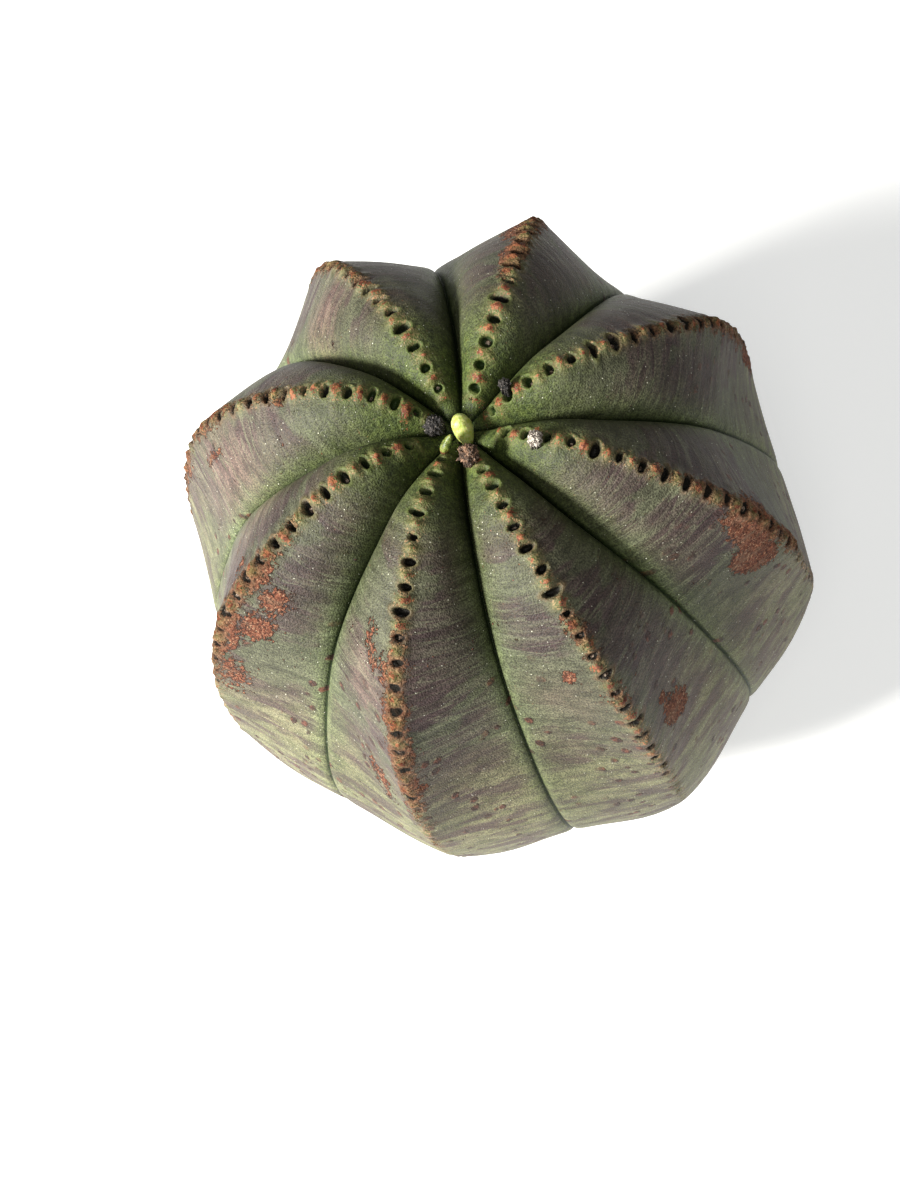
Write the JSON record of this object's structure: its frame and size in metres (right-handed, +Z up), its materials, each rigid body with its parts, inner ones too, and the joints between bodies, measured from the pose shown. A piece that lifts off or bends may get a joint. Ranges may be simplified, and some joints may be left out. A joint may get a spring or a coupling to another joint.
{
  "type": "baseball plant",
  "caption": "Round ribbed succulent stem with rows of leaf-scar teeth and pits along its crests, buds and dried flowers at the crown, and a trimmed root",
  "frame": {"origin": "the middle of the flat cut under the root stub, on the surface the plant rests on", "axes": "+Z up along the stem's axis through the crown; +X and +Y level, with the crest of one rib 5 degrees from +X; -Y faces the viewer"},
  "size_m": [0.0923, 0.0909, 0.0817],
  "materials": {
    "stem_skin": "living plant skin, grey-green with purple-brown cross bands, satin",
    "root_bark": "dry corky root bark, matte",
    "bud_green": "fresh yellow-green bud, satin",
    "dry_flower": "shrivelled dark brown flower, matte"
  },
  "bodies": {
    "root": {"stem": "stem_skin", "root_stub": "root_bark", "flower_bud": "bud_green", "leaf_bud": "bud_green", "dried_flower_south": "dry_flower", "dried_flower_west": "dry_flower", "dried_flower_east": "dry_flower", "dried_flower_north": "dry_flower"}
  },
  "joints": []
}
